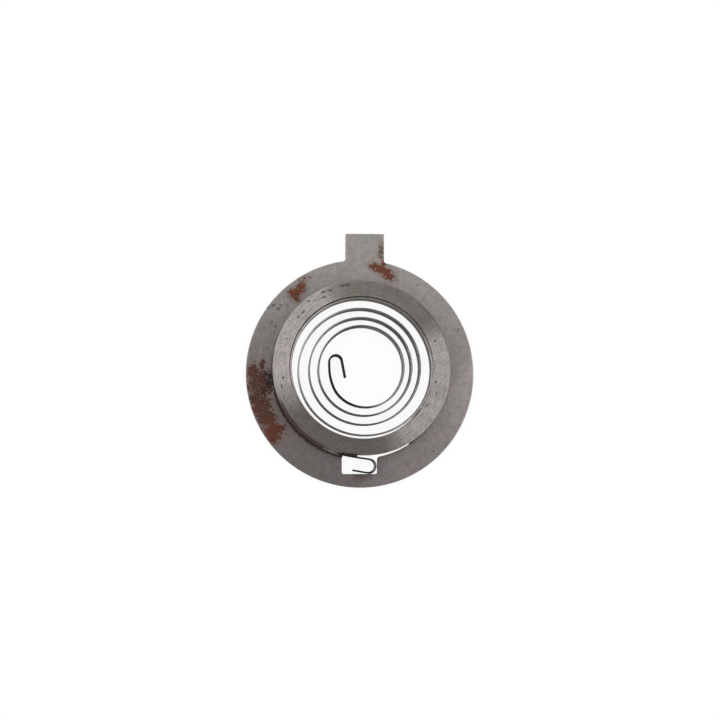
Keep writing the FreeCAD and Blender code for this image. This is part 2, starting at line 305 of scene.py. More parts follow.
def build_keeper_ring(sizes, strip):
    """The stamped ring as a bmesh: its outline with the tab, its bore with the notch, its rolled edge."""
    bm = bmesh.new()
    rim_radius = sizes.bore_radius + sizes.ring_wall + sizes.rim_drop
    rim_centre = Vector((-sizes.rim_shift, -sizes.rim_drop, 0))
    roots, tab_corners = step_out_of_circle(
        bm, rim_centre, rim_radius, -sizes.tab_left, sizes.tab_right, sizes.tab_end
    )
    floor = -fitted_notch_floor(strip, sizes)
    lips, notch_corners = step_out_of_circle(
        bm, Vector(), sizes.bore_radius, -sizes.notch_left, sizes.notch_right, floor
    )
    for corners, radius in (
        (roots, sizes.tab_root_radius),
        (tab_corners, sizes.tab_corner_radius),
        (lips, sizes.notch_lip_radius),
        (notch_corners, sizes.notch_corner_radius),
    ):
        bevel(bm, corners, "VERTICES", radius, ROUND_FACETS, clamp_overlap=True)

    bmesh.ops.triangle_fill(bm, edges=bm.edges[:], use_beauty=True, use_dissolve=False)
    inside = [edge for edge in bm.edges if not edge.is_boundary]
    bmesh.ops.dissolve_limit(
        bm, angle_limit=STRAIGHT_ANGLE, use_dissolve_boundaries=False, verts=[], edges=inside, delimit=set()
    )
    raised = bmesh.ops.extrude_face_region(bm, geom=bm.faces[:])["geom"]
    bmesh.ops.translate(bm, vec=(0, 0, sizes.plate_thickness), verts=vertices(raised))
    bmesh.ops.recalc_face_normals(bm, faces=bm.faces)

    def on_outline(edge):
        low, high = (vert.co for vert in edge.verts)
        middle = (low + high) / 2
        level = all(abs(height - sizes.plate_thickness) < LEVEL_HEIGHT for height in (low.z, high.z))
        far_out = (middle - rim_centre).length > rim_radius - sizes.edge_roll / 2
        return level and (far_out or middle.y > sizes.bore_radius)

    rolled = [edge for edge in bm.edges if has_wall(edge) and on_outline(edge)]
    bevel(bm, rolled, "EDGES", sizes.edge_roll, ROUND_FACETS)
    broken = [edge for edge in bm.edges if has_wall(edge) and edge.calc_face_angle(0) > BREAK_ANGLE]
    bevel(bm, broken, "EDGES", sizes.cut_break, BREAK_FACETS)
    return bm


# The spring


class StripBender:
    """Bends the strip's section along its centreline, as arcs and straight runs."""

    def __init__(self, bm, section, point, heading):
        self.bm = bm
        self.edges = section
        self.point = point.copy()
        self.heading = heading

    def run(self, distance):
        """Goes straight on."""
        step = plain_direction(self.heading) * distance
        made = bmesh.ops.extrude_edge_only(self.bm, edges=self.edges)["geom"]
        bmesh.ops.translate(self.bm, vec=step, verts=vertices(made))
        self.edges = end_edges(made)
        self.point += step

    def turn(self, radius, sweep):
        """Bends to the left by the angle, or to the right where it is negative."""
        outwards = plain_direction(self.heading - math.copysign(QUARTER_TURN, sweep))
        centre = self.point - outwards * radius
        facet = TIGHT_FACET if radius < TIGHT_RADIUS else WIDE_FACET
        self.edges = end_edges(spin(self.bm, self.edges, centre, sweep, max(1, round(abs(sweep) / facet))))
        self.point = centre + Matrix.Rotation(sweep, 3, "Z") @ (outwards * radius)
        self.heading += sweep

    def follow(self, places):
        """Passes these places, each a direction and a distance from the coil's axis, square to the axis."""
        for (turned, start), (next_turned, end) in zip(places, places[1:]):
            sweep = (next_turned - turned) % FULL_TURN
            swing = (end - start) / 2 / (1 - math.cos(sweep / 2))
            self.turn(start + swing, sweep / 2)
            self.turn(end - swing, sweep / 2)


def end_edges(made):
    """The edges among newly made geometry that join two of its vertices."""
    moved = set(vertices(made))
    return [item for item in made if isinstance(item, bmesh.types.BMEdge) and set(item.verts) <= moved]


def started_strip(bm, place, thickness, low, high, edge_radius, facets):
    """An upright section with rounded edges at this direction and distance, ready to be bent from there."""
    turned, distance = place
    start, heading = plain_direction(turned) * distance, turned + QUARTER_TURN
    along, across = plain_direction(heading), plain_direction(heading + QUARTER_TURN)
    matrix = Matrix(
        (
            (across.x * thickness, 0, along.x, 0),
            (across.y * thickness, 0, along.y, 0),
            (0, high - low, 0, 0),
            (0, 0, 0, 1),
        )
    )
    matrix.translation = start + Vector((0, 0, (low + high) / 2))
    before = set(bm.faces)
    corners = bmesh.ops.create_grid(bm, x_segments=1, y_segments=1, size=0.5, matrix=matrix)["verts"]
    bevel(bm, corners, "VERTICES", edge_radius, facets)
    section = next(face for face in bm.faces if face not in before)
    edges = section.edges[:]
    bmesh.ops.delete(bm, geom=[section], context="FACES_ONLY")
    return StripBender(bm, edges, start, heading)


def close_ends(bm):
    """Closes both ends of a bent strip."""
    bmesh.ops.holes_fill(bm, edges=[edge for edge in bm.edges if edge.is_boundary], sides=0)


def pack_places(strip, ring):
    """Where the pack passes its sides, as directions and distances, from its innermost turn outwards."""
    places = []
    for turn in range(strip.pack_loops + 1):
        for side in SIDES:
            outermost = ring.bore_radius - getattr(strip, side + "_clearance") - strip.strip_thickness / 2
            pitch = strip.strip_thickness + getattr(strip, side + "_gap")
            distance = outermost - pitch * (strip.pack_loops - turn)
            if turn == 0 and side in OPEN_SIDES:
                distance -= strip.open_gap
            places.append((getattr(strip, side + "_angle"), distance))
    # The outermost turn leaves for the notch before it comes to its last side
    return places[:-1]


def outer_hook_place(strip, ring):
    """The centre of the outer hook's bend, and how far its first leg's line lies from the coil's axis."""
    half = strip.strip_thickness / 2
    tail_radius = ring.bore_radius - strip.leg_clearance - half
    right = ring.notch_right - strip.hook_wall_gap - half - strip.outer_hook_radius
    square_to_leg = tail_radius + strip.outer_hook_radius + right * math.sin(strip.tail_slope)
    return Vector((right, -square_to_leg / math.cos(strip.tail_slope), 0)), tail_radius


def fitted_notch_floor(strip, ring):
    """How far the notch's floor lies from the coil's axis, just past the outer hook."""
    bend_centre, _ = outer_hook_place(strip, ring)
    return -bend_centre.y + strip.outer_hook_radius + strip.strip_thickness / 2 + ring.hook_floor_gap


def bend_outwards(bender, strip, ring, places):
    """The tight pack, its outermost turn and the outer hook."""
    distance = ring.bore_radius - strip.tail_clearance - strip.strip_thickness / 2
    bender.follow([*places, (strip.tail_angle, distance)])
    bend_centre, tail_radius = outer_hook_place(strip, ring)
    left_to_turn = (-strip.tail_slope - bender.heading) % FULL_TURN
    rise = tail_radius - distance * math.cos(left_to_turn)
    bender.turn(rise / (1 - math.cos(left_to_turn)), left_to_turn)
    bender.run((bend_centre - bender.point).dot(plain_direction(bender.heading)))
    bender.turn(strip.outer_hook_radius, -strip.outer_hook_turn)
    bender.run(strip.outer_hook_tip)


def bend_inwards(bender, sizes, radius):
    """The free inner turns and the inner hook, from the pack's right side at this distance."""
    bender.turn(radius - sizes.leave_tightening, -sizes.leave_sweep)
    loss = radius - sizes.innermost_radius
    for share in FREE_SHARES:
        radius -= loss * share / sum(FREE_SHARES)
        bender.turn(radius, -QUARTER_TURN)
    bender.turn(sizes.lead_radius, -sizes.lead_sweep)
    bender.turn(sizes.inner_leg_radius, -sizes.inner_leg_sweep)
    bender.run(sizes.inner_leg_straight)
    bender.turn(sizes.inner_hook_radius, -sizes.inner_hook_turn)
    bender.run(sizes.inner_hook_tip)


def build_power_spring(sizes, ring):
    """The coiled strip as a bmesh."""
    bm = bmesh.new()
    places = pack_places(sizes, ring)
    section = (sizes.strip_thickness, 0, sizes.strip_width, sizes.edge_radius, STRIP_EDGE_FACETS)
    outwards = started_strip(bm, places[0], *section)
    inwards = StripBender(bm, outwards.edges, outwards.point, outwards.heading - HALF_TURN)
    bend_outwards(outwards, sizes, ring, places)
    bend_inwards(inwards, sizes, places[0][1])
    close_ends(bm)
    return bm


# What fills the gaps


def bend_along(bm, places, thickness, low, high):
    """A closed strip that passes these places."""
    section = (thickness, low, high, thickness * FILL_EDGE, FILL_EDGE_FACETS)
    started_strip(bm, places[0], *section).follow(places)
    close_ends(bm)


def build_old_grease(fill, strip, ring):
    """The grease between the turns of the pack, as one spiral."""
    turns = pack_places(strip, ring)
    next_turns = turns[len(SIDES):]
    places = [(turned, (inner + outer) / 2) for (turned, inner), (_, outer) in zip(turns, next_turns)]
    tail = ((strip.tail_angle, strip.tail_clearance), (fill.dirt_end, strip.leg_clearance))
    for turned, clearance in tail:
        tail_face = ring.bore_radius - clearance - strip.strip_thickness
        places.append((turned, tail_face - fill.grease_thickness * GREASE_SUNK))
    bm = bmesh.new()
    bend_along(bm, places, fill.grease_thickness, fill.grease_depth, strip.strip_width - fill.grease_depth)
    return bm


def build_caked_dirt(fill, strip, ring):
    """The dirt between the pack and the bore, and in the wedge between the pack and the outer hook's leg."""
    places = [(fill.dirt_start, ring.bore_radius - fill.dirt_thickness / 2)]
    for side in SIDES:
        middle_of_gap = ring.bore_radius - getattr(strip, side + "_clearance") / 2
        places.append((getattr(strip, side + "_angle"), middle_of_gap))
    places.append((fill.dirt_end, ring.bore_radius))
    bm = bmesh.new()
    bend_along(bm, places, fill.dirt_thickness, 0, fill.dirt_height)

    leg_normal = -QUARTER_TURN - strip.tail_slope
    leg_face = ring.bore_radius - strip.leg_clearance - strip.strip_thickness
    wedge = []
    for turned in (fill.wedge_start, fill.wedge_end):
        off_normal = (turned - leg_normal + HALF_TURN) % FULL_TURN - HALF_TURN
        wedge.append((turned, leg_face / math.cos(off_normal) - fill.wedge_thickness * WEDGE_SUNK))
    bend_along(bm, wedge, fill.wedge_thickness, fill.grease_depth, strip.strip_width - fill.grease_depth)
    return bm


# Finishes


class Shader:
    """A material's nodes, laid down one step at a time. Values are sockets or plain constants."""

    def __init__(self, name):
        self.material = bpy.data.materials.new(name)
        self.material.use_nodes = True
        self.tree = self.material.node_tree
        self.tree.nodes.clear()

    def node(self, kind, inputs=None, **settings):
        """Adds a node with these settings and inputs."""
        made = self.tree.nodes.new(kind)
        for key, value in settings.items():
            setattr(made, key, value)
        for key, value in (inputs or {}).items():
            self.feed(made.inputs[key], value)
        return made

    def feed(self, socket, value):
        """Links a socket, or sets the constant."""
        if isinstance(value, bpy.types.NodeSocket):
            self.tree.links.new(value, socket)
        elif socket.type == "RGBA" and len(value) == 3:
            socket.default_value = (*value, 1)
        else:
            socket.default_value = value

    def math(self, operation, *values):
        """A step on plain values."""
        return self.node("ShaderNodeMath", dict(enumerate(values)), operation=operation).outputs[0]

    def plus(self, first, second):
        """The sum of two values."""
        return self.math("ADD", first, second)

    def times(self, first, second):
        """The product of two values."""
        return self.math("MULTIPLY", first, second)

    def largest(self, first, *others):
        """The largest of these values."""
        for other in others:
            first = self.math("MAXIMUM", first, other)
        return first

    def centred(self, pattern, swing):
        """A pattern from 0 to 1, moved to swing about 0 by half of this each way."""
        return self.times(self.math("SUBTRACT", pattern, 0.5), swing)

    def vector(self, operation, *values):
        """A step on vectors."""
        made = self.node("ShaderNodeVectorMath", dict(enumerate(values)), operation=operation)
        return made.outputs["Value" if operation in ("LENGTH", "DOT_PRODUCT") else "Vector"]

    def place(self):
        """The point on the object, in millimetres."""
        coordinates = self.node("ShaderNodeTexCoord").outputs["Object"]
        return self.vector("MULTIPLY", coordinates, (1 / MM, 1 / MM, 1 / MM))

    def in_plan(self, point):
        """The point, brought down to the table."""
        return self.vector("MULTIPLY", point, (1, 1, 0))

    def along(self, vector, turned):
        """How far a vector reaches in this direction in plan."""
        return self.vector("DOT_PRODUCT", vector, tuple(plain_direction(turned)))

    def part_of(self, vector, axis):
        """A vector's X, Y or Z."""
        return self.node("ShaderNodeSeparateXYZ", {"Vector": vector}).outputs[axis]

    def noise(self, point, scale, detail, roughness):
        """A cloudy pattern from 0 to 1, with this many clouds to the millimetre."""
        inputs = {"Vector": point, "Scale": scale, "Detail": detail, "Roughness": roughness}
        return self.node("ShaderNodeTexNoise", inputs, noise_dimensions="3D").outputs["Fac"]

    def ramp(self, value, low, high, low_out=0, high_out=1):
        """A soft step of the value between two limits."""
        inputs = {"Value": value, "From Min": low, "From Max": high, "To Min": low_out, "To Max": high_out}
        return self.node("ShaderNodeMapRange", inputs, interpolation_type="SMOOTHSTEP").outputs["Result"]

    def blend(self, share, first, second, kind="MIX"):
        """A blend of two colours."""
        inputs = {0: share, 6: first, 7: second}
        return self.node("ShaderNodeMix", data_type="RGBA", blend_type=kind, inputs=inputs).outputs[2]

    def scaled(self, vector_or_colour, factor):
        """A vector or colour, multiplied by a number."""
        inputs = {"Vector": vector_or_colour, "Scale": factor}
        return self.node("ShaderNodeVectorMath", inputs, operation="SCALE").outputs["Vector"]

    def spots(self, point, places):
        """1 in the middle of each place and 0 at its border. Places are as in the lists of marks below."""
        nearest = OUT_OF_REACH
        for x, y, half_length, half_width, turned in places:
            square = 0.0
            for axis, half in ((turned, half_length), (turned + 90, half_width)):
                direction = plain_direction(math.radians(axis)) / half
                reach = self.vector("DOT_PRODUCT", point, tuple(direction))
                off_centre = self.math("SUBTRACT", reach, direction.dot((x, y, 0)))
                square = self.math("MULTIPLY_ADD", off_centre, off_centre, square)
            nearest = self.math("MINIMUM", square, nearest)
        return self.math("SUBTRACT", 1.0, self.math("SQRT", nearest))

    def finish(self, base, metallic, roughness, height, relief):
        """Ends in a shader with these values, and this height pattern of this relief."""
        bump = self.node("ShaderNodeBump", {"Strength": 1.0, "Distance": relief, "Height": height})
        inputs = {"Base Color": base, "Metallic": metallic, "Roughness": roughness, "Normal": bump.outputs[0]}
        surface = self.node("ShaderNodeBsdfPrincipled", inputs)
        self.node("ShaderNodeOutputMaterial", {"Surface": surface.outputs["BSDF"]})
        return self.material


# Further than any mark reaches
OUT_OF_REACH = 1e6

# Marks, in millimetres from the coil's axis: x, y, half length, half width, turn in degrees
TAB_RUST = [
    (4.3, 34.6, 1.7, 1.3, 0), (6.6, 33.8, 2.6, 1.6, -10), (9.0, 31.9, 2.7, 1.7, -35),
    (7.6, 35.8, 1.1, 0.8, 90),
]
TAB_STREAK = [
    (6.8, 39.4, 4.2, 1.3, 90), (6.6, 41.0, 1.3, 1.1, 0), (6.4, 38.3, 1.4, 1.2, 0),
]
UPPER_LEFT_RUST = [
    (-20.1, 27.1, 2.8, 1.6, 75), (-21.3, 25.8, 1.9, 1.6, 0), (-22.7, 25.4, 1.9, 1.4, 0),
    (-21.7, 23.8, 1.5, 1.3, 0), (-19.2, 30.5, 0.6, 0.4, 0), (-17.2, 30.7, 0.4, 0.4, 0),
]
LOWER_LEFT_RUST = [
    (-28.7, -20.0, 4.4, 2.4, 5), (-29.4, -21.8, 3.6, 2.6, -50), (-30.4, -17.2, 2.4, 1.6, -50),
]
LEFT_RUST = [
    (-33.5, -5.2, 5.6, 4.7, 90), (-36.0, -0.9, 3.2, 1.9, 80), (-32.9, 1.4, 2.2, 1.0, 85),
    (-34.4, -9.6, 3.0, 2.6, 0), (-33.0, -12.6, 4.4, 3.6, 70), (-31.0, -15.7, 3.6, 2.8, -50),
    (-32.6, -16.6, 3.2, 2.0, -50),
]
LEFT_BLACK = [
    (-30.2, -4.0, 4.0, 2.0, -78), (-32.2, -7.5, 1.6, 1.0, 60), (-36.4, -9.5, 1.6, 0.7, 100),
]
SMALL_SPOTS = [
    (-29.2, 21.3, 1.1, 0.6, 20), (-27.6, 20.1, 1.0, 0.6, -20), (-26.9, 21.3, 0.6, 0.4, 0),
    (-24.5, 21.2, 0.5, 0.4, 0), (-30.9, 20.4, 0.6, 0.4, 0), (-25.9, 23.9, 0.4, 0.4, 0),
    (-29.8, 15.6, 0.7, 0.45, 60), (-28.4, 14.2, 0.8, 0.5, 20), (-28.9, 12.4, 0.4, 0.35, 0),
    (-33.9, 13.1, 0.55, 0.35, 60), (-31.1, 7.1, 0.5, 0.4, 0), (18.9, 28.4, 0.5, 0.4, 30),
    (32.5, 13.5, 0.5, 0.35, 0), (24.1, -27.2, 0.8, 0.25, -15), (22.2, -31.9, 0.45, 0.3, 0),
]
PALE_SCRATCH = [(-33.5, 6.2, 2.2, 0.2, 90)]
# A faint brown patch on the plate just below the notch's floor
NOTCH_PATCH = [(0.0, -35.8, 4.6, 1.6, 0), (-2.0, -36.6, 2.0, 1.0, 20)]
PACK_PITS = [
    (-6.3, 27.4, 1.3, 0.45, 12), (-4.6, 27.7, 0.9, 0.45, 10), (-12.8, 25.3, 1.1, 0.4, 25),
    (-10.5, 25.9, 1.0, 0.4, 10), (-12.7, 23.6, 1.0, 0.4, 25), (-17.6, 22.3, 0.6, 0.45, 0),
    (-19.4, 18.6, 1.1, 0.4, 50), (-20.9, 17.0, 0.8, 0.35, 50), (-15.6, 22.4, 0.4, 0.25, 30),
    (-24.8, 9.8, 0.4, 0.35, 0), (-25.6, 11.5, 0.25, 0.25, 0), (11.9, 26.0, 0.5, 0.25, -25),
    (24.4, 9.25, 0.55, 0.4, 70), (24.5, -4.35, 0.7, 0.4, 80), (24.8, -8.2, 0.6, 0.3, 75),
    (21.5, -12.0, 0.9, 0.3, 55), (-26.0, -3.2, 0.6, 0.4, -80), (-26.4, -6.0, 1.1, 0.35, -75),
    (-23.1, -12.7, 0.6, 0.3, -60), (-19.8, -12.1, 0.6, 0.25, -60), (7.7, -27.5, 1.0, 0.3, 12),
]
OUTER_HOOK_BLACK = [(-2.5, -29.4, 9.0, 1.6, -8.7), (-0.2, -34.1, 4.8, 1.6, -6)]

# Patterns are clouds to the millimetre, detail and roughness. Fades are the two limits of a pattern or of
# a place in millimetres, and what they turn into where that isn't 0 and 1
# Painted light: the bare sheet is painted lighter towards this side, the tab's, and darker with painted shade
# towards the notch
LIGHT_SIDE = math.radians(69)
LIGHT_FADE = (-42.0, 40.0)
BLOTCHES = (0.16, 4, 0.6)
BLOTCH_SWING = 30.0
GRAIN = (1.9, 6, 0.75)
GRAIN_FADE = (0.3, 0.7, 0.84, 1.16)
CLOUDS = (0.5, 4, 0.65)
CLOUD_FADE = (0.3, 0.7, 0.9, 1.1)
TINTS = (0.3, 4, 0.7)
TINT_SHIFT = (40, 9, 0)
TINT_FADE = (0.35, 0.65)
COOL_TINT = (0.96, 1.0, 1.02)
WARM_TINT = (1.04, 0.985, 0.96)
SCRATCHES = (1.0, 3, 0.6)
SCRATCH_STRETCH = (2.6, 0.22, 1)
SCRATCH_FADE = (0.3, 0.7, 0.96, 1.04)
# A painted sheen: near the rim at the lower right, the bare sheet is painted up to 1.28 times as bright
PAINTED_SHEEN_SIDE = math.radians(-41)
PAINTED_SHEEN_FADE = (22.5, 28.5, 1.0, 1.28)
# Painted shade: deeper than these below the sheet's top, its walls are painted half as bright
TOP_DEPTHS = (0.35, 0.02)
WALL_PAINTED_SHADE = (0.0, 1.0, 0.5, 1.0)


def bare_sheet(made, colours, point, lit_and_blotched, grain):
    """The bare sheet's colour: painted light towards the tab and painted shade towards the notch, with random
    blotches, a fine mottle, faint scratches and a painted sheen towards the lower right.
    """
    steel = made.blend(made.ramp(lit_and_blotched, *LIGHT_FADE), colours.plate_shaded, colours.plate_lit)
    steel = made.scaled(steel, made.ramp(grain, *GRAIN_FADE))
    steel = made.scaled(steel, made.ramp(made.noise(point, *CLOUDS), *CLOUD_FADE))
    tinted = made.ramp(made.noise(made.vector("ADD", point, TINT_SHIFT), *TINTS), *TINT_FADE)
    steel = made.blend(1.0, steel, made.blend(tinted, COOL_TINT, WARM_TINT), "MULTIPLY")
    scratches = made.noise(made.vector("MULTIPLY", point, SCRATCH_STRETCH), *SCRATCHES)
    steel = made.scaled(steel, made.ramp(scratches, *SCRATCH_FADE))
    # The painted sheen at the lower right
    return made.scaled(steel, made.ramp(made.along(point, PAINTED_SHEEN_SIDE), *PAINTED_SHEEN_FADE))


# Marks on the plate: the places, how ragged their borders are, and the fade from border to middle
FRESH_RUST = [(TAB_RUST, 3.6), (UPPER_LEFT_RUST, 3.6), (LOWER_LEFT_RUST, 2.1)]
FRESH_FADE = (0.0, 0.35)
OLD_RUST_FADE = (0.0, 0.3)
LEFT_RAG = 2.4
STREAK_RAG = 3.4
STREAK_FADE = (0.25, 0.85)
STREAK_STRENGTH = 0.75
HALO_FADE = (-0.9, 0.1)
STREAK_HALO_FADE = (-0.2, 0.5)
HALO_STRENGTH = 0.6
NOTCH_PATCHED = (NOTCH_PATCH, 3.0, 0.2, 1.2)
NOTCH_STRENGTH = 0.4
BLACKENED = (LEFT_BLACK, 3.5, -0.1, 0.5)
SPOTTED = (SMALL_SPOTS, 2.5, 0.0, 0.5)
SPOT_STRENGTH = 0.7
SCRATCHED = (PALE_SCRATCH, 2.0, 0.1, 0.7)
SCRATCH_GAIN = 1.2
DARKEST_STRENGTH = 0.85
RAGGED = (0.95, 5, 0.68)

# Dirt caked on the plate beside the bore, at the lower left
CAKED_SIDE = math.radians(228)
CAKED_STRETCH = (21.0, 27.0)
CAKED_REACH = 1.3
CAKED_RAG = 2.0
CAKED_FADE = (0.35, 0.9)

# The rust's own mottle
SPECKLES = (1.5, 5, 0.75)
SPECKLE_FADE = (0.36, 0.64)
POWDER = (1.5, 4, 0.7)
POWDER_SHIFT = (7, 3, 0)
POWDER_FADE = (0.54, 0.68)
POWDER_STRENGTH = 0.5
# Painted light on the fresh rust: darker towards the notch, lighter towards the tab
FRESH_LIGHT = (-40.0, 30.0, 0.55, 0.9)
FLECK_SHADE = 0.65
BROWN_SHADES = (0.0, 1.0, 0.4, 1.2)
STAIN_SHADES = (0.0, 1.0, 0.6, 1.1)
CRUST_METALLIC = (0.0, 1.0, 0.85, 0.0)
WALL_METALLIC = (0.0, 1.0, 0.25, 1.0)
CRUST_ROUGHNESS = (0.0, 1.0, 0.5, 0.9)
WALL_ROUGHNESS = (0.0, 1.0, 0.8, 0.5)
GRAIN_HEIGHT = 0.25
PLATE_RELIEF = 0.05 * MM


def make_plate_steel(colours, bore_radius, thickness):
    """Dull bare sheet steel with painted light, shade and sheen, patches of fresh and brown rust, small spots
    and caked dirt.
    """
    made = Shader("plate_steel")
    point = made.place()
    # Painted light from the tab's side, with random blotches mixed in
    lit_and_blotched = made.plus(made.along(point, LIGHT_SIDE), made.centred(made.noise(point, *BLOTCHES), BLOTCH_SWING))
    grain = made.noise(point, *GRAIN)
    on_top = made.ramp(made.part_of(point, "Z"), *[thickness - depth for depth in TOP_DEPTHS])
    steel = bare_sheet(made, colours, point, lit_and_blotched, grain)
    # Painted shade on the sheet's walls
    steel = made.scaled(steel, made.ramp(on_top, *WALL_PAINTED_SHADE))
    ragged = made.math("SUBTRACT", made.noise(point, *RAGGED), 0.5)

    def reach(places, rag):
        return made.math("MULTIPLY_ADD", ragged, rag, made.spots(point, places))

    def patch(places, rag, low, high):
        return made.ramp(reach(places, rag), low, high)

    fresh_reach = made.largest(*[reach(places, rag) for places, rag in FRESH_RUST])
    orange = made.ramp(fresh_reach, *FRESH_FADE)
    left_reach = reach(LEFT_RUST, LEFT_RAG)
    streak = reach(TAB_STREAK, STREAK_RAG)
    # A faint brown patch just below the notch's floor
    stain = made.times(patch(*NOTCH_PATCHED), NOTCH_STRENGTH)
    streaked = made.times(made.ramp(streak, *STREAK_FADE), STREAK_STRENGTH)
    brown = made.largest(made.ramp(left_reach, *OLD_RUST_FADE), stain, streaked)
    halo = made.ramp(made.largest(fresh_reach, left_reach), *HALO_FADE)
    halo = made.largest(halo, made.ramp(streak, *STREAK_HALO_FADE))

    away = made.vector("LENGTH", made.in_plan(point))
    caked = made.times(
        made.ramp(away, bore_radius + CAKED_REACH, bore_radius),
        made.ramp(made.along(point, CAKED_SIDE), *CAKED_STRETCH),
    )
    caked = made.ramp(made.math("MULTIPLY_ADD", ragged, CAKED_RAG, caked), *CAKED_FADE)
    darkest = made.largest(patch(*BLACKENED), caked)

    speckle = made.ramp(made.noise(point, *SPECKLES), *SPECKLE_FADE)
    powder = made.ramp(made.noise(made.vector("ADD", point, POWDER_SHIFT), *POWDER), *POWDER_FADE)
    mottled = made.scaled(colours.rust_brown, made.ramp(speckle, *BROWN_SHADES))
    mottled = made.blend(made.times(powder, POWDER_STRENGTH), mottled, colours.rust_pale)
    # The fresh rust gets the same painted light and shade as the sheet
    fresh = made.scaled(colours.rust_orange, made.ramp(lit_and_blotched, *FRESH_LIGHT))
    flecked = made.blend(speckle, made.scaled(colours.rust_brown, FLECK_SHADE), fresh)
    stained = made.scaled(colours.rust_stain, made.ramp(speckle, *STAIN_SHADES))
    spotted = made.times(patch(*SPOTTED), on_top)

    shade = made.blend(patch(*SCRATCHED), steel, made.scaled(colours.plate_lit, SCRATCH_GAIN))
    shade = made.blend(made.times(halo, HALO_STRENGTH), shade, stained)
    shade = made.blend(brown, shade, mottled)
    shade = made.blend(orange, shade, flecked)
    shade = made.blend(made.times(spotted, SPOT_STRENGTH), shade, colours.spot_grey)
    shade = made.blend(made.times(darkest, DARKEST_STRENGTH), shade, colours.rust_black)

    crust = made.largest(brown, orange, darkest)
    metallic = made.times(made.ramp(crust, *CRUST_METALLIC), made.ramp(on_top, *WALL_METALLIC))
    roughness = made.largest(made.ramp(crust, *CRUST_ROUGHNESS), made.ramp(on_top, *WALL_ROUGHNESS))
    height = made.plus(made.times(crust, speckle), made.times(grain, GRAIN_HEIGHT))
    return made.finish(shade, metallic, roughness, height, PLATE_RELIEF)


# The pack's two sides with a painted highlight, its lower left side with painted shade, and the stretch where
# the outermost turn runs towards the notch
HIGHLIGHT_SIDE = math.radians(160)
HIGHLIGHT_FADE = (0.22, 0.72)
SHADE_SIDE = math.radians(245)
SHADE_FADE = (0.45, 0.75, 1.0, 0.72)
TAIL_SIDE = math.radians(224)
TAIL_FADE = (0.9, 0.95)


def painted_highlight_round(made, outwards):
    """Where the highlight is painted: 0 above and below the pack, and 1 on its two sides that face the lamps.
    """
    along = made.along(outwards, HIGHLIGHT_SIDE)
    return made.ramp(made.times(along, along), *HIGHLIGHT_FADE)


def painted_shade_lower_left(made, outwards, shade):
    """The colour, with painted shade on the pack's lower left side."""
    return made.scaled(shade, made.ramp(made.along(outwards, SHADE_SIDE), *SHADE_FADE))


def tail_stretch(made, outwards):
    """1 where the outermost turn runs towards the notch, 0 elsewhere."""
    return made.ramp(made.along(outwards, TAIL_SIDE), *TAIL_FADE)


# The strip's brushing along its turns, its grain, and broad fans of tone across the turns
BRUSHED = (1.0, 4, 0.65)
BRUSHED_ROUND = 5.0
BRUSHED_ACROSS = 2.6
STRIP_GRAIN = (1.6, 5, 0.75)
FANS = (1.0, 3, 0.6)
FANS_ROUND = 9.0
BRUSHED_SHARE = 0.45
GRAIN_SHARE = 0.3
FAN_SHARE = 0.25
TONE_FADE = (0.34, 0.66, -1.0, 1.0)
TONE_SWING = (0.0, 1.0, 0.26, 0.34)
# Painted light: the strip's edges are painted a little lighter on the left and darker on the right
PAINTED_SIDE_LIGHT = (-25.0, 25.0, 1.07, 0.93)

# The border between the strip's edges and its faces, as depths below the edge
EDGE_DEPTHS = (0.3, 0.06)
FACE_TONES = (0.3, 0.7, 0.7, 1.3)

# Distances from the coil's axis of the outermost turn, the free turns and the innermost turn
TAIL_AWAY = (28.36, 28.46)
TAIL_TONES = (0.35, 0.65, 0.35, 1.1)
TAIL_STRENGTH = 0.7
FREE_AWAY = (20.2, 19.7)
FREE_SHADES = (0.0, 1.0, 1.0, 0.7)
INNERMOST_AWAY = (14.3, 13.9)
INNERMOST_SIDE = (9.0, -6.0)
HOOK_FADE = (0.0, 0.35)
BLACK_STRENGTH = 0.92
BLACK_ROUGHNESS = 0.9
PIT_RAG = 1.2
PIT_FADE = (0.05, 0.4)
PIT_STRENGTH = 0.9
STRIP_METALLIC = (0.0, 1.0, 0.95, 0.0)
EDGE_ROUGHNESS = (0.35, 0.65, 0.48, 0.34)
FACE_ROUGHNESS = (0.0, 1.0, 0.62, 0.0)
TONE_HEIGHT = 0.3
STRIP_RELIEF = 0.012 * MM


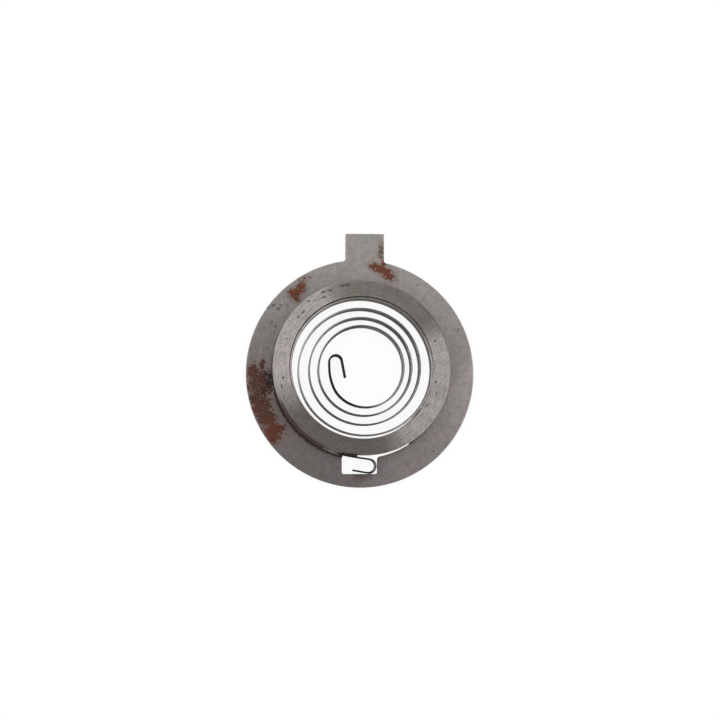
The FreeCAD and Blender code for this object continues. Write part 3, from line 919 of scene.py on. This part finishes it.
def make_spring_steel(colours, strip_width):
    """Rolled strip: edges brushed along the turns, with a painted highlight on the pack's two sides that face
    the lamps, painted light stronger on the left and painted shade on its lower left, oily faces, near-black
    ends and a few pits.
    """
    made = Shader("spring_steel")
    point = made.place()
    plan = made.in_plan(point)
    away = made.vector("LENGTH", plan)
    outwards = made.vector("NORMALIZE", plan)
    side = made.part_of(point, "X")
    lift = made.node("ShaderNodeCombineXYZ", {"Z": made.times(away, BRUSHED_ACROSS)}).outputs[0]
    brushed = made.noise(made.vector("ADD", made.scaled(outwards, BRUSHED_ROUND), lift), *BRUSHED)
    grain = made.noise(point, *STRIP_GRAIN)
    fans = made.noise(made.scaled(outwards, FANS_ROUND), *FANS)
    tone = made.plus(made.times(brushed, BRUSHED_SHARE), made.times(grain, GRAIN_SHARE))
    tone = made.math("MULTIPLY_ADD", fans, FAN_SHARE, tone)

    # Painted highlight: the edges are paler on the pack's two sides that face the lamps
    bright = painted_highlight_round(made, outwards)
    edges = made.blend(bright, colours.strip_shaded, colours.strip_highlit)
    # Painted light, lighter on the left and darker on the right, and painted shade on the lower left
    edges = painted_shade_lower_left(made, outwards, made.scaled(edges, made.ramp(side, *PAINTED_SIDE_LIGHT)))
    change = made.times(made.ramp(tone, *TONE_FADE), made.ramp(bright, *TONE_SWING))
    edges = made.scaled(edges, made.plus(change, 1.0))

    middle = strip_width / 2
    off_middle = made.math("ABSOLUTE", made.math("SUBTRACT", made.part_of(point, "Z"), middle))
    on_edge = made.ramp(off_middle, *[middle - depth for depth in EDGE_DEPTHS])
    steel = made.blend(on_edge, made.scaled(colours.strip_face, made.ramp(tone, *FACE_TONES)), edges)

    tail = made.times(made.ramp(away, *TAIL_AWAY), tail_stretch(made, outwards))
    dirty = made.scaled(colours.rust_brown, made.ramp(grain, *TAIL_TONES))
    steel = made.blend(made.times(tail, TAIL_STRENGTH), steel, dirty)
    steel = made.scaled(steel, made.ramp(made.ramp(away, *FREE_AWAY), *FREE_SHADES))
    # Near-black on the innermost turn's left side and on the outer hook's leg and bend
    innermost = made.times(made.ramp(away, *INNERMOST_AWAY), made.ramp(side, *INNERMOST_SIDE))
    blackened = made.largest(innermost, made.ramp(made.spots(point, OUTER_HOOK_BLACK), *HOOK_FADE))
    steel = made.blend(made.times(blackened, BLACK_STRENGTH), steel, colours.strip_black)
    pits = made.ramp(made.plus(made.spots(point, PACK_PITS), made.centred(grain, PIT_RAG)), *PIT_FADE)
    steel = made.blend(made.times(pits, PIT_STRENGTH), steel, colours.rust_black)

    metallic = made.ramp(pits, *STRIP_METALLIC)
    roughness = made.largest(made.ramp(tone, *EDGE_ROUGHNESS), made.ramp(on_edge, *FACE_ROUGHNESS))
    roughness = made.largest(roughness, made.times(blackened, BLACK_ROUGHNESS))
    depth = made.math("SUBTRACT", made.times(tone, TONE_HEIGHT), pits)
    return made.finish(steel, metallic, roughness, depth, STRIP_RELIEF)


# Dirt and grease: their lumps, and where the dirt turns black and the grease gets dark painted shade in its
# open gaps
DIRT_LUMPS = (1.1, 5, 0.75)
DIRT_FADE = (0.4, 0.5)
DIRT_TOP = (2.5, 2.0)
GREASE_LUMPS = (1.6, 5, 0.7)
GREASE_SHADES = (0.3, 0.7, 0.6, 1.5)
INNER_GAP_AWAY = (24.32, 24.22)
INNER_GAP_SIDE = math.radians(95)
INNER_GAP_FADE = (-0.35, -0.1)
TAIL_GAP_AWAY = (28.0, 28.2)
DEEP_SHADE = 0.06
FILL_ROUGHNESS = (0.3, 0.7, 0.55, 0.8)
FILL_RELIEF = 0.03 * MM


def make_dirt(colours):
    """Brown oily dirt with black specks, all black above the ring."""
    made = Shader("dirt")
    point = made.place()
    lumps = made.noise(point, *DIRT_LUMPS)
    brown = made.times(made.ramp(lumps, *DIRT_FADE), made.ramp(made.part_of(point, "Z"), *DIRT_TOP))
    shade = made.blend(brown, colours.dirt_black, colours.dirt)
    return made.finish(shade, 0.0, made.ramp(lumps, *FILL_ROUGHNESS), lumps, FILL_RELIEF)


def make_grease(colours):
    """Old grease: matt and lumpy, with a painted highlight on the pack's two sides that face the lamps,
    painted shade on its lower left side, and dark painted shade in its two open gaps.
    """
    made = Shader("grease")
    point = made.place()
    plan = made.in_plan(point)
    away = made.vector("LENGTH", plan)
    outwards = made.vector("NORMALIZE", plan)
    # Painted highlight on the pack's two sides that face the lamps
    shade = made.blend(painted_highlight_round(made, outwards), colours.grease, colours.grease_highlit)
    # Dark painted shade in the open gap by the innermost turn and in the gap beside the outermost turn
    inner_gap = made.ramp(made.along(outwards, INNER_GAP_SIDE), *INNER_GAP_FADE)
    inner_gap = made.times(made.ramp(away, *INNER_GAP_AWAY), inner_gap)
    tail_gap = made.times(made.ramp(away, *TAIL_GAP_AWAY), tail_stretch(made, outwards))
    deep = made.largest(inner_gap, tail_gap)
    # Painted shade on the lower left, and dark painted shade in the open gaps
    shade = made.blend(deep, painted_shade_lower_left(made, outwards, shade), made.scaled(colours.grease_highlit, DEEP_SHADE))
    lumps = made.noise(point, *GREASE_LUMPS)
    shade = made.scaled(shade, made.ramp(lumps, *GREASE_SHADES))
    return made.finish(shade, 0.0, made.ramp(lumps, *FILL_ROUGHNESS), lumps, FILL_RELIEF)


# The table glows a little for the camera and in reflections, so that it looks white
TABLE_GLOW = 1.06
TABLE_GLOW_SHARE = 0.87


def make_pale_table(colours):
    """A table that looks white, and keeps a soft shadow under the object."""
    made = Shader("pale_table")
    path = made.node("ShaderNodeLightPath").outputs
    seen = made.largest(path["Is Camera Ray"], path["Is Glossy Ray"], path["Is Transmission Ray"])
    shadowed = made.node("ShaderNodeBsdfDiffuse", {"Color": colours.table})
    white = made.node("ShaderNodeEmission", {"Color": (1.0, 1.0, 1.0), "Strength": TABLE_GLOW})
    share = made.times(seen, TABLE_GLOW_SHARE)
    mixed = made.node("ShaderNodeMixShader", {0: share, 1: shadowed.outputs[0], 2: white.outputs[0]})
    made.node("ShaderNodeOutputMaterial", {"Surface": mixed.outputs[0]})
    return made.material


# Table, light and camera

CAMERA_TARGET = Vector((-0.37, 3.11, 2.0)) * MM
CAMERA_SIDE = Vector((-0.0583, -0.0694, 0.9959)).normalized()
CAMERA_DISTANCE = 450 * MM
CAMERA_LENS = 67.5
WALL_DISTANCE = 3.0
WALL_HEIGHT = 1.6
FLOOR_FACETS = 96
FLOOR_DROP = 0.02 * MM
ROOM_LIGHT = 0.45
NEAREST_SEEN = 0.01

# Lamps: name, direction in degrees, height in degrees, distance, width, depth in metres, power in watts
LAMPS = [
    ("left_soft_box", 170, 38, 0.8, 0.7, 0.35, 1.5),
    ("right_soft_box", -8, 38, 0.8, 0.7, 0.35, 1.2),
    ("back_soft_box", 80, 62, 0.9, 0.6, 0.5, 0.8),
]


def aim(thing, place, towards, up):
    """Puts a lamp or camera at a place, looking at a point, with its top towards up."""
    back = (place - towards).normalized()
    right = up.cross(back).normalized()
    top = back.cross(right)
    turned = Matrix((right, top, back)).transposed()
    thing.matrix_world = Matrix.Translation(place) @ turned.to_4x4()


def add_floor(colours):
    """The table, just under the object, with a low round wall far behind it."""
    bm = bmesh.new()
    bmesh.ops.create_circle(bm, cap_ends=True, radius=WALL_DISTANCE, segments=FLOOR_FACETS)
    wall = bmesh.ops.extrude_edge_only(bm, edges=bm.edges[:])["geom"]
    bmesh.ops.translate(bm, vec=(0, 0, WALL_HEIGHT), verts=vertices(wall))
    bmesh.ops.translate(bm, vec=(0, 0, -FLOOR_DROP), verts=bm.verts)
    new_object("pale_table", bm, make_pale_table(colours))


def add_world():
    """Even pale light from all round."""
    world = bpy.data.worlds.new("pale_room")
    world.use_nodes = True
    background = world.node_tree.nodes["Background"]
    background.inputs["Color"].default_value = (1, 1, 1, 1)
    background.inputs["Strength"].default_value = ROOM_LIGHT
    bpy.context.scene.world = world


def add_lamps():
    """Large soft lamps round the table."""
    for name, turned, lifted, distance, width, depth, power in LAMPS:
        lamp = bpy.data.lights.new(name, "AREA")
        lamp.shape = "RECTANGLE"
        lamp.size = width
        lamp.size_y = depth
        lamp.energy = power
        item = bpy.data.objects.new(name, lamp)
        bpy.context.scene.collection.objects.link(item)
        flat = plain_direction(math.radians(turned)) * math.cos(math.radians(lifted))
        place = (flat + Vector((0, 0, math.sin(math.radians(lifted))))) * distance
        aim(item, place, Vector(), Vector((0, 0, 1)))


def add_camera():
    """The camera, nearly straight above, with the tab towards the top of the picture."""
    camera = bpy.data.cameras.new("camera")
    camera.lens = CAMERA_LENS
    camera.clip_start = NEAREST_SEEN
    item = bpy.data.objects.new("camera", camera)
    bpy.context.scene.collection.objects.link(item)
    aim(item, CAMERA_TARGET + CAMERA_SIDE * CAMERA_DISTANCE, CAMERA_TARGET, Vector((0, 1, 0)))
    bpy.context.scene.camera = item


class SPRING_OT_keeper_ring(bpy.types.Operator):
    """Makes the stamped keeper ring with its tab, bore and notch"""

    bl_idname = "spring.keeper_ring"
    bl_label = "Make Keeper Ring"

    def execute(self, context):
        sizes = context.scene.ring_sizes
        ring = build_keeper_ring(sizes, context.scene.strip_sizes)
        colours = context.scene.finish_colours
        steel = make_plate_steel(colours, sizes.bore_radius / MM, sizes.plate_thickness / MM)
        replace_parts(finished_piece("ring_plate", ring, steel), "keeper_ring")
        return {"FINISHED"}


class SPRING_OT_power_spring(bpy.types.Operator):
    """Makes the coiled strip with its tight pack, free turns and two hooks"""

    bl_idname = "spring.power_spring"
    bl_label = "Make Power Spring"

    def execute(self, context):
        scene = context.scene
        strip = build_power_spring(scene.strip_sizes, scene.ring_sizes)
        steel = make_spring_steel(scene.finish_colours, scene.strip_sizes.strip_width / MM)
        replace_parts(finished_piece("coiled_strip", strip, steel), "power_spring")
        return {"FINISHED"}


class SPRING_OT_filling(bpy.types.Operator):
    """Makes the old grease between the turns and the dirt caked between the pack and the bore"""

    bl_idname = "spring.filling"
    bl_label = "Make Grease and Dirt"

    def execute(self, context):
        scene = context.scene
        sizes = (scene.fill_sizes, scene.strip_sizes, scene.ring_sizes)
        colours = scene.finish_colours
        finished_piece("old_grease", build_old_grease(*sizes), make_grease(colours))
        finished_piece("caked_dirt", build_caked_dirt(*sizes), make_dirt(colours))
        return {"FINISHED"}


class SPRING_OT_stage(bpy.types.Operator):
    """Sets up the pale table, the soft lamps and the camera"""

    bl_idname = "spring.stage"
    bl_label = "Set Up Table, Light and Camera"

    def execute(self, context):
        context.scene.view_settings.view_transform = "Standard"
        add_floor(context.scene.finish_colours)
        add_world()
        add_lamps()
        add_camera()
        return {"FINISHED"}


# The groups of sizes by their names in the scene, and the operators that make pieces from them
GROUPS = {
    "ring_sizes": RingSizes,
    "strip_sizes": StripSizes,
    "fill_sizes": FillSizes,
    "finish_colours": FinishColours,
}
OPERATORS = [SPRING_OT_keeper_ring, SPRING_OT_power_spring, SPRING_OT_filling, SPRING_OT_stage]


class SPRING_PT_panel(bpy.types.Panel):
    """Lists the pieces and their sizes"""

    bl_idname = "SPRING_PT_panel"
    bl_label = "Spiral Power Spring"
    bl_space_type = "VIEW_3D"
    bl_region_type = "UI"
    bl_category = "Spring"

    def draw(self, context):
        for operator, (name, group) in zip(OPERATORS, GROUPS.items()):
            self.layout.operator(operator.bl_idname)
            for size in group.__annotations__:
                label = size.replace("_", " ").capitalize()
                self.layout.prop(getattr(context.scene, name), size, text=label)


CLASSES = [*GROUPS.values(), *OPERATORS, SPRING_PT_panel]


def register():
    for item in CLASSES:
        bpy.utils.register_class(item)
    for name, group in GROUPS.items():
        setattr(bpy.types.Scene, name, PointerProperty(type=group))


def unregister():
    for name in GROUPS:
        delattr(bpy.types.Scene, name)
    for item in reversed(CLASSES):
        bpy.utils.unregister_class(item)


def main():
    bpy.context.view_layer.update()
    register()
    bpy.ops.spring.stage()
    bpy.ops.spring.keeper_ring()
    bpy.ops.spring.power_spring()
    bpy.ops.spring.filling()


if __name__ == "__main__":
    main()
